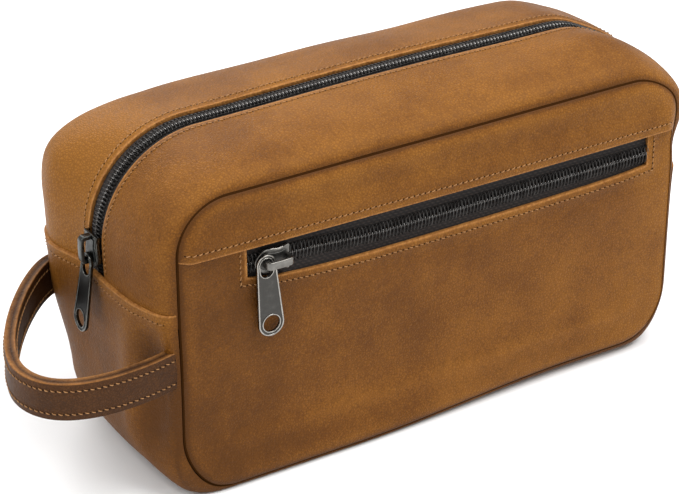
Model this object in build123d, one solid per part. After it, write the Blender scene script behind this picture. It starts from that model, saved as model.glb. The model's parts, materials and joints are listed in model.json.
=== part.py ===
from build123d import *
import os

# Leather shaving kit bag. Millimetres, +Z up, origin at the centre of the base.
# +X runs along the length, the front (with the pocket zip) faces -Y, and the
# handle is on the -X end.

# --- body -----------------------------------------------------------------------
HALF_LENGTH = 128.0      # middle of the gusset, half of the overall length without the handle
HEIGHT = 140.0           # middle of the gusset, top
SEAM_HALF_LENGTH = 115.0  # where the panels are sewn to the gusset
SEAM_BOTTOM = 5.0
SEAM_TOP = 129.0
SEAM_Y = 45.0            # the panels' inner faces
SEAM_RADIUS = 21.0       # the panels' corners
CROWN_RADIUS = 43.0      # the gusset's top corners in the middle, which the main zip follows
BASE_EDGE_Z = 84.0       # the base gusset's upper edge
FOLD_Z = 104.8           # the line where the mouth folds outwards, just under the yoke's edge
LEATHER = 2.0
SPLIT_GAP = 0.3          # clearance where one piece of leather is split at a line
SEWN_GAP = 0.1           # clearance between layers that are sewn flat together
JOIN = 0.1               # how far fused pieces run into each other
# depth, fullness (0 at the seam, 1 in the middle) and height of the underside
STATIONS = [(14.0, 1.0, 0.0), (30.0, 0.83, 0.0), (39.0, 0.605, 0.8), (SEAM_Y, 0.0, SEAM_BOTTOM)]

# --- lining and pocket ------------------------------------------------------------
LINING = 0.8
LINING_INSET = 3.0       # from the gusset's outer surface, inside the zip tapes
LINING_FACE_Y = 41.3     # behind the pocket
LINING_GAP = 0.4         # between the lining's pieces
LINING_SIDE_GAP = 0.2    # between the gusset's lining and the panels'
LINING_ZIP_EDGE = 7.1    # the lining's edges, either side of the main zip
CLOTH = 0.6
POCKET_BOTTOM = 18.0
POCKET_FRONT_INSET = 0.2  # the pocket's two sheets, behind the front panel's inner face
POCKET_BACK_INSET = 2.9

# --- zips -----------------------------------------------------------------------
STRIP_EDGE_Y = 5.6       # the top strips' edges, either side of the main zip
TAPE = 0.7
POCKET_TAPE = 0.5
TAPE_WIDTH = 12.0        # one half of the zip
COIL_WIDTH = 3.9         # one half of the chain
COIL_GAP = 0.15          # from the chain's middle line
COIL_HEIGHT = 2.0
MAIN_ZIP_END_Z = 78.0    # the tapes' ends, inside the base gusset
WINDOW_LEFT = -87.0
WINDOW_RIGHT = 101.0
WINDOW_BOTTOM = 89.0
WINDOW_COIL_GAP = 0.3    # between the chain's ends and the window's
POCKET_TAPE_LEFT = WINDOW_LEFT - 5.0
POCKET_TAPE_RIGHT = WINDOW_RIGHT + 4.0
POCKET_BAG_LEFT = WINDOW_LEFT - 8.0
POCKET_ZIP_Z = 98.0
YOKE_EDGE_Z = 105.0
YOKE_LAP = 7.0           # how far the yoke covers the front panel
YOKE_LIP = 14.0          # height of the yoke's thick lower part
YOKE_THICKNESS = 1.8

# --- sliders and pullers ---------------------------------------------------------
SLIDER_LENGTH = 15.0
SLIDER_WIDTH = 10.4
SLIDER_PLATE = 1.3
PLATE_CLEARANCE = 0.7    # under the tape, which bends where the zip turns a corner
COIL_CLEARANCE = 0.4     # over the coil
SLIDER_NOSE = 3.2        # corner cut of the slider's nose
POST_WIDTH = 2.0
POST_LENGTH = 2.4
POST_INSET = 0.4         # from the slider's nose
POST_CLEARANCE = 0.2     # between the post and the zip's halves
POST_RUN = 0.5           # the halves meet this far behind the post
FLANGE = 0.8
FLANGE_HEIGHT = 1.2
CROWN_HALF = 5.9         # half of the crown's length along the zip
CROWN_SHIFT = 1.5        # from the slider's middle towards its tail
CROWN_WIDTH = 3.2
CROWN_BAR = 1.4
CROWN_RISE = 4.6
CROWN_LEG = 1.6
CROWN_RADIUS_OUT = 1.5
CROWN_RADIUS_IN = 0.4
PULLER_LENGTH = 36.0
PULLER_TOP_WIDTH = 8.2
PULLER_FOOT_WIDTH = 11.0
PULLER_THICKNESS = 1.4
PULLER_WALL = 1.5        # over the slot
PULLER_SLOT_WIDTH = 5.6
PULLER_SLOT_LENGTH = 8.2
PULLER_EYE_RADIUS = 3.6
PULLER_CLEARANCE = 0.6   # over the slider
RING_PLAY = 0.8          # between the main puller's slot and the crown's leg
POCKET_RING_RISE = 2.6   # the pocket puller's slot lies around the crown's leg
POCKET_SLIDER_X = -76.7
MAIN_SLIDER_Z = 94.0
MAIN_PULLER_TILT = 5.0   # degrees, its foot held off by the bag's rounded side
MAIN_PULLER_LEAN = 8.0   # degrees in its own plane, its foot towards the back
POCKET_PULLER_LEAN = 4.0  # degrees in its own plane, its foot away from the handle

# --- handle ------------------------------------------------------------------------
STRAP_BOTTOM = 51.0
STRAP_TOP = 67.5
STRAP_LAYER = 2.3
STRAP_PIVOT_X = -121.0
STRAP_END_X = -117.8
STRAP_SWING = 25.0
# line between the strap's two layers, seen from above
STRAP_ROUTE = [
    (-116.0, -45.6), (-148.0, -46.8), (-172.0, -37.0), (-169.0, -3.0), (-138.0, 39.5), (-116.0, 47.2),
]
STRAP_RADII = [60.0, 17.0, 75.0, 60.0]

FAR = 400.0
WHOLE = (-FAR, FAR)
MAIN_TAPE_X = -HALF_LENGTH + LEATHER + SEWN_GAP
POCKET_TAPE_Y = -SEAM_Y + SEWN_GAP
YOKE_LAP_Z = YOKE_EDGE_Z + YOKE_LAP
SLIDER_TOP = COIL_HEIGHT + COIL_CLEARANCE + SLIDER_PLATE
PULLER_PLANE = SLIDER_TOP + PULLER_CLEARANCE + PULLER_THICKNESS / 2
PARTS = {}


def keep(name, shape):
    PARTS[name] = shape


def block(x, y, z):
    """A box from three (low, high) pairs."""
    size = [hi - lo for lo, hi in (x, y, z)]
    middle = [(hi + lo) / 2 for lo, hi in (x, y, z)]
    return Pos(*middle) * Box(*size)


def span(middle, side, near, far):
    """The (low, high) pair from near to far on one side of a middle line."""
    return tuple(sorted((middle + side * near, middle + side * far)))


def section(y, inset, fullness, bottom):
    """Outline of the bag's body at one depth, as a face in the XZ plane at y."""
    half = SEAM_HALF_LENGTH + (HALF_LENGTH - SEAM_HALF_LENGTH) * fullness - inset
    low = bottom + inset
    high = SEAM_TOP + (HEIGHT - SEAM_TOP) * fullness - inset
    top_radius = SEAM_RADIUS + (CROWN_RADIUS - SEAM_RADIUS) * fullness - inset
    centre = (high + low) / 2
    outline = Pos(0, centre) * Rectangle(2 * half, high - low)
    outline = fillet([v for v in outline.vertices() if v.Y > centre], top_radius)
    low_corners = sorted(outline.vertices(), key=lambda v: v.Y)[:2]
    outline = fillet(low_corners, SEAM_RADIUS - inset)
    return Plane(origin=(0, y, 0), x_dir=(1, 0, 0), z_dir=(0, -1, 0)) * outline


def barrel(inset, overrun=0.0):
    """The body's rounded form, inset from the outer surface; overrun lengthens it past the seams."""
    rows = [(-y, f, b) for y, f, b in reversed(STATIONS)] + STATIONS
    solid = loft([section(y, inset, f, b) for y, f, b in rows], ruled=True)
    if overrun:
        for side in (-1, 1):
            end = section(side * SEAM_Y, inset, 0.0, SEAM_BOTTOM)
            solid += extrude(end, overrun, dir=(0, side, 0))
    return solid


def shell(outer, inner):
    """The skin between two insets, open at the front and the back."""
    return barrel(outer) - barrel(inner, overrun=10.0)


def panel(near, far, inset=0.0):
    """A flat panel with the seam's outline between two depths."""
    face = section(near, inset, 0.0, SEAM_BOTTOM)
    return extrude(face, abs(far - near), dir=(0, 1 if far > near else -1, 0))


def leather_body():
    skin = shell(0.0, LEATHER)
    below = (-FAR, FOLD_Z)
    folding = (FOLD_Z + SPLIT_GAP, FAR)
    ends = (BASE_EDGE_Z + SPLIT_GAP, FOLD_Z)
    keep("base_gusset", skin & block(WHOLE, WHOLE, (-FAR, BASE_EDGE_Z)))
    for name, side in (("front", -1), ("back", 1)):
        half = span(0, side, STRIP_EDGE_Y, FAR)
        keep(f"top_gusset_{name}", skin & block(WHOLE, half, folding))
        keep(f"top_gusset_{name}_ends", skin & block(WHOLE, half, ends))

    back = panel(SEAM_Y, SEAM_Y + LEATHER)
    keep("back_panel_lower", back & block(WHOLE, WHOLE, below))
    keep("back_panel_upper", back & block(WHOLE, WHOLE, folding))

    front = panel(-SEAM_Y, -SEAM_Y - LEATHER)
    window = block((WINDOW_LEFT, WINDOW_RIGHT), WHOLE, (WINDOW_BOTTOM, FAR))
    keep("front_panel", (front & block(WHOLE, WHOLE, below)) - window)
    # the panel's upper edge, which the yoke covers at both ends of the window
    lap = (FOLD_Z + SPLIT_GAP, YOKE_LAP_Z)
    keep("front_panel_lap", (front & block(WHOLE, WHOLE, lap)) - window)
    lip = panel(-SEAM_Y - LEATHER, -SEAM_Y - LEATHER - YOKE_THICKNESS)
    lip &= block(WHOLE, WHOLE, (YOKE_EDGE_Z, YOKE_EDGE_Z + YOKE_LIP))
    keep("front_yoke", lip + (front & block(WHOLE, WHOLE, (YOKE_LAP_Z + SPLIT_GAP, FAR))))


def linings():
    ring = shell(LINING_INSET, LINING_INSET + LINING)
    reach = LINING_FACE_Y - LINING - LINING_SIDE_GAP
    below = (-FAR, FOLD_Z - LINING_GAP)
    above = (FOLD_Z + LINING_GAP, FAR)
    zip_slot = block(WHOLE, (-LINING_ZIP_EDGE, LINING_ZIP_EDGE), (BASE_EDGE_Z, FAR))
    keep("lining_gusset", (ring & block(WHOLE, (-reach, reach), below)) - zip_slot)
    for name, side in (("front", -1), ("back", 1)):
        keep(f"lining_top_{name}", ring & block(WHOLE, span(0, side, LINING_ZIP_EDGE, reach), above))
        near = side * LINING_FACE_Y
        face = panel(near, near - side * LINING, inset=LINING_INSET + LINING)
        keep(f"lining_{name}_lower", face & block(WHOLE, WHOLE, below))
        keep(f"lining_{name}_upper", face & block(WHOLE, WHOLE, above))


def pocket():
    """The flat cloth pocket behind the front zip: two sheets sewn round the edge."""
    across = (POCKET_BAG_LEFT, POCKET_TAPE_RIGHT)
    front_top = POCKET_ZIP_Z - TAPE_WIDTH - LINING_SIDE_GAP
    front = span(-SEAM_Y, 1, POCKET_FRONT_INSET, POCKET_FRONT_INSET + CLOTH)
    back = span(-SEAM_Y, 1, POCKET_BACK_INSET, POCKET_BACK_INSET + CLOTH)
    # the front sheet ends at the lower tape, the back sheet runs up behind the zip
    keep("pocket_bag_front", block(across, front, (POCKET_BOTTOM, front_top)))
    keep("pocket_bag_back", block(across, back, (POCKET_BOTTOM, FOLD_Z - LINING_GAP)))


def post_notch(beyond):
    """Room between the two halves of a zip for a slider's post, and beyond the slider's nose."""
    half = POST_WIDTH / 2 + POST_CLEARANCE
    nose = SLIDER_LENGTH / 2
    along = (nose - POST_INSET - POST_LENGTH - POST_RUN, nose + beyond)
    return block(along, (-half, half), (-SLIDER_LENGTH, SLIDER_LENGTH))


def place(x_dir, z_dir, origin):
    """Location that maps the slider's local axes to the bag's."""
    return Plane(origin=origin, x_dir=x_dir, z_dir=z_dir).location


# Slider frame: local +X is the way it closes the zip, +Z points out of the bag,
# and z = 0 is the tape's outer face. The main slider's nose points down, and the
# pocket slider's to the left.
MAIN_SLIDER = place((0, 0, -1), (-1, 0, 0), (MAIN_TAPE_X, 0, MAIN_SLIDER_Z))
POCKET_SLIDER = place((-1, 0, 0), (0, -1, 0), (POCKET_SLIDER_X, POCKET_TAPE_Y, POCKET_ZIP_Z))


def pocket_zip():
    tape_y = span(POCKET_TAPE_Y, 1, 0.0, POCKET_TAPE)
    coil_y = span(POCKET_TAPE_Y, -1, SEWN_GAP, COIL_HEIGHT)
    window = (WINDOW_LEFT + WINDOW_COIL_GAP, WINDOW_RIGHT - WINDOW_COIL_GAP)
    notch = POCKET_SLIDER * post_notch(POST_CLEARANCE)
    for name, side in (("upper", 1), ("lower", -1)):
        tape_z = span(POCKET_ZIP_Z, side, COIL_GAP, TAPE_WIDTH)
        tape = block((POCKET_TAPE_LEFT, POCKET_TAPE_RIGHT), tape_y, tape_z)
        coil = block(window, coil_y, span(POCKET_ZIP_Z, side, COIL_GAP, COIL_WIDTH))
        keep(f"pocket_zip_tape_{name}", tape - notch)
        keep(f"pocket_zip_coil_{name}", coil - notch)


def main_zip():
    # below the slider the two halves stay apart, down to their ends
    notch = MAIN_SLIDER * post_notch(MAIN_SLIDER_Z - MAIN_ZIP_END_Z)
    tape = shell(LEATHER + SEWN_GAP, LEATHER + SEWN_GAP + TAPE)
    coil = shell(SEWN_GAP, LEATHER)
    for name, side in (("front", -1), ("back", 1)):
        tape_half = block(WHOLE, span(0, side, COIL_GAP, TAPE_WIDTH), (MAIN_ZIP_END_Z, FAR))
        coil_half = block(WHOLE, span(0, side, COIL_GAP, COIL_WIDTH), (BASE_EDGE_Z + SPLIT_GAP, FAR))
        keep(f"main_zip_tape_{name}", (tape & tape_half) - notch)
        keep(f"main_zip_coil_{name}", (coil & coil_half) - notch)


def slider_body():
    """Two plates round the zip, joined by a post at the nose, with a flange down each side."""
    top_low = COIL_HEIGHT + COIL_CLEARANCE
    under_top = -TAPE - PLATE_CLEARANCE
    outline = Rectangle(SLIDER_LENGTH, SLIDER_WIDTH)
    outline = chamfer([v for v in outline.vertices() if v.X > 0], SLIDER_NOSE)
    plate = extrude(outline, SLIDER_PLATE)
    post_x = span(SLIDER_LENGTH / 2, -1, POST_INSET, POST_INSET + POST_LENGTH)
    post = block(post_x, (-POST_WIDTH / 2, POST_WIDTH / 2), (under_top - JOIN, top_low + JOIN))
    body = Pos(0, 0, top_low) * plate + Pos(0, 0, under_top - SLIDER_PLATE) * plate + post
    rim_x = (-SLIDER_LENGTH / 2, SLIDER_LENGTH / 2 - SLIDER_NOSE)
    for side in (-1, 1):
        rim_y = span(0, side, SLIDER_WIDTH / 2 - FLANGE, SLIDER_WIDTH / 2)
        body += block(rim_x, rim_y, (top_low - FLANGE_HEIGHT, top_low + JOIN))
    return body


def crown():
    """The arch on the slider: two legs and a bar, in the plane of the zip's run."""
    outline = Pos(0, CROWN_RISE / 2) * Rectangle(2 * CROWN_HALF, CROWN_RISE)
    outline = fillet([v for v in outline.vertices() if v.Y > CROWN_RISE / 2], CROWN_RADIUS_OUT)
    opening_height = CROWN_RISE - CROWN_BAR
    opening = Pos(0, opening_height / 2) * Rectangle(2 * (CROWN_HALF - CROWN_LEG), opening_height)
    opening = fillet([v for v in opening.vertices() if v.Y > opening_height / 2], CROWN_RADIUS_IN)
    arch = extrude(Plane.XZ * (outline - opening), CROWN_WIDTH / 2, both=True)
    return Pos(-CROWN_SHIFT, 0, SLIDER_TOP) * arch


def puller():
    """The pull tab, hanging in local -Y from the slot's top edge, centred on z = 0."""
    half_top = PULLER_TOP_WIDTH / 2
    half_foot = PULLER_FOOT_WIDTH / 2
    foot_y = PULLER_WALL - PULLER_LENGTH + half_foot
    head = Pos(0, PULLER_WALL - half_top) * Circle(half_top)
    foot = Pos(0, foot_y) * Circle(half_foot)
    slot = Rotation(0, 0, 90) * SlotOverall(PULLER_SLOT_LENGTH, PULLER_SLOT_WIDTH)
    slot = Pos(0, -PULLER_SLOT_LENGTH / 2) * slot
    eye = Pos(0, foot_y) * Circle(PULLER_EYE_RADIUS)
    tab = make_hull((head + foot).edges()) - slot - eye
    return Pos(0, 0, -PULLER_THICKNESS / 2) * extrude(tab, PULLER_THICKNESS)


def leaning(angle):
    """The puller turned in its own plane about the middle of its slot's round end."""
    turn = Pos(0, -PULLER_SLOT_WIDTH / 2) * Rotation(0, 0, angle) * Pos(0, PULLER_SLOT_WIDTH / 2)
    return turn * puller()


def sliders():
    keep("main_slider_body", MAIN_SLIDER * slider_body())
    keep("main_slider_crown", MAIN_SLIDER * crown())
    # the main puller hangs from the crown's lower leg, its ring passing under the bar,
    # and flips about the middle of the ring's wall
    ring_x = MAIN_TAPE_X - PULLER_PLANE
    ring_z = MAIN_SLIDER_Z + CROWN_SHIFT - CROWN_HALF + CROWN_LEG + RING_PLAY
    hang = place((0, -1, 0), (-1, 0, 0), (0, 0, -PULLER_WALL / 2))
    tilt = Pos(ring_x, 0, ring_z + PULLER_WALL / 2) * Rotation(0, MAIN_PULLER_TILT, 0)
    keep("main_puller", tilt * hang * leaning(-MAIN_PULLER_LEAN))

    keep("pocket_slider_body", POCKET_SLIDER * slider_body())
    keep("pocket_slider_crown", POCKET_SLIDER * crown())
    # the pocket puller is looped round the crown's left leg, which it turns about
    leg_x = POCKET_SLIDER_X + CROWN_SHIFT - CROWN_HALF + CROWN_LEG / 2
    ring_origin = (leg_x, POCKET_TAPE_Y - PULLER_PLANE, POCKET_ZIP_Z + POCKET_RING_RISE)
    keep("pocket_puller", place((1, 0, 0), (0, -1, 0), ring_origin) * leaning(POCKET_PULLER_LEAN))


def handle():
    """Two ribbons on edge, sewn back to back; their ends clear the bag through the whole swing."""
    route = FilletPolyline(*STRAP_ROUTE, radius=STRAP_RADII)
    swing = Pos(STRAP_PIVOT_X, 0, (STRAP_BOTTOM + STRAP_TOP) / 2)
    bag_side = block((STRAP_END_X - STRAP_PIVOT_X, FAR), WHOLE, WHOLE)
    for name, side in (("outer", Side.LEFT), ("inner", Side.RIGHT)):
        middle = route.offset_2d(STRAP_LAYER / 2, side=side, closed=False)
        ribbon = trace(middle, line_width=STRAP_LAYER)
        strap = Pos(0, 0, STRAP_BOTTOM) * extrude(ribbon, STRAP_TOP - STRAP_BOTTOM)
        for angle in (-STRAP_SWING, 0.0, STRAP_SWING):
            strap -= swing * Rotation(0, angle, 0) * bag_side
        keep(f"handle_{name}_strap", strap)


leather_body()
linings()
pocket()
pocket_zip()
main_zip()
sliders()
handle()

os.makedirs("parts", exist_ok=True)
for name, shape in PARTS.items():
    shape.label = name
    export_step(shape, f"parts/{name}.step")
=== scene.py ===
import json
import math

import bpy
import numpy as np
from mathutils import Matrix, Vector


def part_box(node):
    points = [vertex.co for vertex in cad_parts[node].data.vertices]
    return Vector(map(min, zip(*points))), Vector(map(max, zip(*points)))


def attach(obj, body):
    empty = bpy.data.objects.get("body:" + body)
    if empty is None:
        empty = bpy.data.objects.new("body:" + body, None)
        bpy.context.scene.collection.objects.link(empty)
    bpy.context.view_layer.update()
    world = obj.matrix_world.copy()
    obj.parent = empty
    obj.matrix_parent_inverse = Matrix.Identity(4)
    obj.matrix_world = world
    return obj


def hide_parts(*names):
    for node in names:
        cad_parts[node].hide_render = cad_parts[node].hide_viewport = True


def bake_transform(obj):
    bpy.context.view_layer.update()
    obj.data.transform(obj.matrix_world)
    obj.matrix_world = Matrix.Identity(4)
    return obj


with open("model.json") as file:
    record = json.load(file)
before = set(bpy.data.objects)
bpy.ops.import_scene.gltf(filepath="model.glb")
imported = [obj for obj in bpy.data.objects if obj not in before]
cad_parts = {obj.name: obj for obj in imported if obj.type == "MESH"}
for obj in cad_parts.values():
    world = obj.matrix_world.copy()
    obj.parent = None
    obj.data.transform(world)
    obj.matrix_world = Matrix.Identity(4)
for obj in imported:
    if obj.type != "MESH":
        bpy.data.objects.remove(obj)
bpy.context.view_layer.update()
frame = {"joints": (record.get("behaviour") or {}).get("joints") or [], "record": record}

# Leather shaving kit bag. Lengths are in millimetres until a mesh is made.
MM = 0.001


def cad(node):
    """Lowest and highest corner of a CAD node, in millimetres."""
    low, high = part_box(node)
    return np.array(low) / MM, np.array(high) / MM


def joint_point(name):
    """A point on a joint's axis, in millimetres."""
    found = next(j for j in frame["joints"] if j["name"] == name)
    return np.array(found["pos_m"]) / MM


def mount(name):
    """A mount of the record."""
    return next(m for m in frame["record"]["mounts"] if m["name"] == name)


# --- sizes read from the frame ---------------------------------------------------
HALF = cad("base_gusset")[1][0]
BASE_EDGE = cad("base_gusset")[1][2]
SEAM_Y = cad("base_gusset")[1][1]
SEAM_X = cad("front_panel")[1][0]
SEAM_LOW = cad("front_panel")[0][2]
SEAM_TOP = cad("front_yoke")[1][2]
TOP = cad("top_gusset_front")[1][2]
ZIP_CORNER = joint_point("main_slider_travel")
CROWN_RADIUS = HALF + ZIP_CORNER[0]
STRIP_EDGE = -cad("top_gusset_front")[1][1]
FOLD_Z = joint_point("front_mouth_fold")[2]
MAIN_TAPE_X = cad("main_zip_tape_front")[0][0]
POCKET_TAPE_Y = cad("pocket_zip_tape_upper")[0][1]
POCKET_ZIP_Z = joint_point("pocket_puller_swing")[2]
STRAP_LOW, STRAP_HIGH = (cad("handle_outer_strap")[k][2] for k in (0, 1))

# --- sizes of the leather work ----------------------------------------------------
SEAM_RADIUS = 21.0       # corners of the front and back seams
LEATHER = 1.9
DOME = 1.3               # rise of the top's middle, between the zip's corners
STRIP_LOW = BASE_EDGE - 6.0   # the strips run on under the base gusset's edge
BASE_PROUD = 1.5         # the base gusset lies over the strips
PILLOW = 2.5             # exponent of the gusset's rounded cross section
SLACK = 1.35             # the same for the slack +X side
ROLL = 5.0               # width of the rolled edge beside the seam
STITCH_PITCH = 2.5
STITCH_LEAN = 0.34       # how far a stitch's ends stand off its row
HOLE_RADIUS = 0.36       # needle hole
ROW_SIDE = 0.6           # from a stitch row to the guide line beside it
ZIP_ROW = 3.0            # distances of the stitch rows from the cut edges
BASE_ROW = 4.2
YOKE_ROW = 3.4
WINDOW_ROW = 3.0
STRAP_ROW = 3.2
WINDOW_LEFT = -87.0      # opening for the pocket zip
WINDOW_RIGHT = 101.0
WINDOW_LOW = 89.0
YOKE_EDGE_LEFT = 106.1
YOKE_EDGE_RIGHT = 104.2
YOKE_LAP_TOP = 112.0     # the front panel runs on this far behind the yoke
YOKE_LEATHER = 1.7
STRAP_LEATHER = 2.25
STRAP_RISE = 3.4         # the handle's back end lies higher than its front end
LINING_CLOTH = 0.6
POCKET_CLOTH = 0.4
LINING_INSET = 3.0       # the lining lies inside the leather
LINING_DEPTH = 39.6      # from the middle plane to the lining's sides
LINING_GAP = 7.4         # from the zip's middle to the lining's edge
TAPE_CLOTH = 0.6
COIL_PITCH = 1.63
COIL_HALF_WIDTH = 3.75   # the pocket zip's chain lies loose and flat
TIGHT_HALF_WIDTH = 3.1   # the main zip's chain is drawn together
COIL_RISE = 1.05         # from the tape to the coil's middle
COIL_HEIGHT = 0.66       # half the coil's thickness, from wire to wire
COIL_WIRE = 0.28         # radius of the wire
COIL_HEAD = 0.22         # and how much thicker it is at the loops' heads
COIL_MESH = 0.30         # how far the heads reach past the middle of the chain
POCKET_SAG = 2.7         # how far the pocket zip's chain hangs below its straight line

# --- how far the leather departs from its plain form --------------------------------
DENT = 4.2               # hollow of the -X side between the front seam and the ridge
RIDGE = 2.0              # ridge beside the handle's front end
BACK_BULGE = 7.0         # the -X side's back half, pushed out from inside
BACK_SPREAD = 2.0        # and pushed backwards
SHOULDER_OUT = 1.8       # upper back corner of the -X side
SHOULDER_UP = 2.8
SHOULDER_DROP = 1.0      # the top just before that corner
LOW_CORNER = 1.8         # lower corner of the -X side
CORNER_OUT = 2.6         # upper corner of the +X side
SIDE_OUT = 1.2           # the rest of the +X side
HOLLOW = 3.2             # the top's +X end round the zip
SWELL = 2.2              # the top's front half beside that hollow
WAIST = 1.2              # the base gusset just below its edge
FOOT_OUT = 3.2           # the front's lower edge, rolled forwards
FOOT_LIFT = 3.6          # height of the plain edge that the roll takes back to the floor


# === helpers ======================================================================
def smooth(t):
    t = np.clip(t, 0.0, 1.0)
    return t * t * (3 - 2 * t)


def bump(value, centre, width):
    """A soft bell of height 1 at centre."""
    return np.exp(-((value - centre) / width) ** 2)


def arc(cx, cz, radius, start, end, count):
    """Points of a circular arc without its first point, angles in degrees."""
    angle = np.radians(np.linspace(start, end, count + 1)[1:])
    return cx + radius * np.cos(angle), cz + radius * np.sin(angle)


def new_object(name, verts, faces, attributes=None):
    mesh = bpy.data.meshes.new(name)
    mesh.from_pydata((np.asarray(verts) * MM).tolist(), [], [list(map(int, f)) for f in faces])
    for key, values in (attributes or {}).items():
        layer = mesh.attributes.new(key, "FLOAT", "POINT")
        layer.data.foreach_set("value", np.asarray(values, np.float32).ravel())
    mesh.update()
    obj = bpy.data.objects.new(name, mesh)
    bpy.context.scene.collection.objects.link(obj)
    return obj


def bake(obj):
    """Applies the modifiers."""
    graph = bpy.context.evaluated_depsgraph_get()
    mesh = bpy.data.meshes.new_from_object(obj.evaluated_get(graph))
    obj.modifiers.clear()
    old = obj.data
    obj.data = mesh
    bpy.data.meshes.remove(old)
    return obj


def shade(obj, material, angle=40.0):
    obj.data.materials.clear()
    for one in material if isinstance(material, (list, tuple)) else [material]:
        obj.data.materials.append(one)
    obj.data.shade_smooth()
    obj.data.set_sharp_from_angle(angle=math.radians(angle))
    return obj


def grid_faces(rows, columns, keep=None):
    index = np.arange(rows * columns).reshape(rows, columns)
    quads = np.stack([index[:-1, :-1], index[:-1, 1:], index[1:, 1:], index[1:, :-1]], -1)
    if keep is not None:
        return quads[keep]
    return quads.reshape(-1, 4)


def sheet_of_leather(name, points, material, edge=None, painted_light_and_tone=None, keep=None,
                     thickness=LEATHER, outward=None, bevel=0.35):
    """A grid of outer-surface points made into leather of even thickness with rounded cut edges."""
    rows, columns = points.shape[:2]
    faces = grid_faces(rows, columns, keep)
    flat = points.reshape(-1, 3)
    used = np.unique(faces)
    remap = np.full(len(flat), -1)
    remap[used] = np.arange(len(used))
    faces = remap[faces]
    zeros = np.zeros(rows * columns)
    attributes = {
        "edge": (zeros if edge is None else np.asarray(edge).ravel())[used],
        "painted_light_and_tone": (zeros if painted_light_and_tone is None else np.asarray(painted_light_and_tone).ravel())[used],
    }
    verts = flat[used]
    a, b, c = (verts[faces[:, k]] for k in (0, 1, 2))
    normal = np.cross(b - a, c - a)
    middle = (a + c) / 2
    away = middle - np.array([0, 0, TOP / 2]) if outward is None else np.array(outward)
    if (normal * away).sum() < 0:
        faces = faces[:, ::-1]
    obj = new_object(name, verts, faces, attributes)
    solid = obj.modifiers.new("thick", "SOLIDIFY")
    solid.thickness = thickness * MM
    solid.offset = -1
    if bevel:
        round_edges = obj.modifiers.new("edges", "BEVEL")
        round_edges.width = bevel * MM
        round_edges.segments = 2
        round_edges.limit_method = "ANGLE"
        round_edges.angle_limit = math.radians(55)
    bake(obj)
    return shade(obj, material)


def along(line):
    """Distance along a row of points."""
    return np.concatenate([[0], np.cumsum(np.linalg.norm(np.diff(line, axis=0), axis=1))])


def resample(line, stations):
    length = along(line)
    return np.stack([np.interp(stations, length, line[:, k]) for k in range(3)], -1)


def unit(v):
    return v / np.maximum(np.linalg.norm(v, axis=-1, keepdims=True), 1e-9)


def ring_faces(count, sides, turned, loop=False):
    """Faces that join count rings of points into a tube: a loop, or with a cap at each end."""
    index = np.arange(count * sides).reshape(count, sides)
    after = np.roll(index, -1, axis=1)
    quads = np.stack([index[:-1], after[:-1], after[1:], index[1:]], -1).reshape(-1, 4)
    if loop:
        faces = [*quads, *np.stack([index[-1], after[-1], after[0], index[0]], -1)]
    else:
        faces = [*quads, index[0][::-1], index[-1]]
    return [face[::-1] for face in faces] if turned else faces


def tube_mesh(centres, radii, sides, first, second, loop=False):
    """Rings of `sides` points round each centre, joined into a tube: a loop, or with capped ends."""
    turn = np.linspace(0, 2 * np.pi, sides, endpoint=False)
    across, up = np.cos(turn)[None, :, None], np.sin(turn)[None, :, None]
    ring = across * first[:, None] + up * second[:, None]
    verts = centres[:, None] + np.asarray(radii)[:, None, None] * ring
    # a left-handed pair of directions would turn the tube inside out
    turned = np.cross(first[0], second[0]) @ (centres[1] - centres[0]) < 0
    return verts.reshape(-1, 3), ring_faces(len(centres), sides, turned, loop)


# === the bag's form ===============================================================
def gusset_sizes(fullness):
    """Half width, lowest and highest level and top corner radius of the gusset at a fullness."""
    half = SEAM_X + (HALF - SEAM_X) * fullness
    low = SEAM_LOW * (1 - min(1.0, 1.6 * fullness))
    high = SEAM_TOP + (TOP - SEAM_TOP) * fullness
    top_radius = SEAM_RADIUS + (CROWN_RADIUS - SEAM_RADIUS) * fullness
    return half, low, high, top_radius


def mirrored(half, level, side_z, arc_x, arc_z, run):
    """An outline in X and Z: the -X side, its corner, a straight run, and both again on +X."""
    x = np.concatenate([np.full(len(side_z), -half), arc_x, run, -arc_x[::-1],
                        np.full(len(side_z), half)])
    z = np.concatenate([side_z, arc_z, np.full(len(run), level), arc_z[::-1], side_z[::-1]])
    return x, z


def strip_path(fullness, inset=0.0):
    """Outline of a top gusset strip in X and Z: up the -X side, over the top and down the +X side."""
    half, _, high, radius = gusset_sizes(fullness)
    half, high, radius = half - inset, high - inset, radius - inset
    spring = high - radius
    low_side = np.linspace(STRIP_LOW, ZIP_CORNER[2] - 1, 12)
    rise = np.linspace(ZIP_CORNER[2] - 1, spring, 5)[1:]
    side_z = np.concatenate([low_side, rise])
    arc_x, arc_z = arc(-(half - radius), spring, radius, 180, 90, 26)
    run = np.linspace(-(half - radius), half - radius, 72)[1:-1]
    x, z = mirrored(half, high, side_z, arc_x, arc_z, run)
    arched = np.clip(1 - (x / ZIP_CORNER[0]) ** 2, 0, 1) ** 2
    dome = DOME * fullness * smooth((z - FOLD_Z) / 30) * arched
    return x, z + dome


def base_path(fullness, inset=0.0):
    """Outline of the base gusset in X and Z: down the -X side, under the bag and up the +X side."""
    half, low, _, _ = gusset_sizes(fullness)
    half, low = half - inset, low + inset
    radius = SEAM_RADIUS - inset
    side_z = np.linspace(BASE_EDGE, low + radius, 34)
    arc_x, arc_z = arc(-(half - radius), low + radius, radius, 180, 270, 16)
    run = np.linspace(-(half - radius), half - radius, 60)[1:-1]
    return mirrored(half, low, side_z, arc_x, arc_z, run)


def pillow(depth):
    """Fullness of the gusset at a depth: 1 in the middle, 0 at the seams."""
    return rounding(depth, PILLOW)


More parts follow.
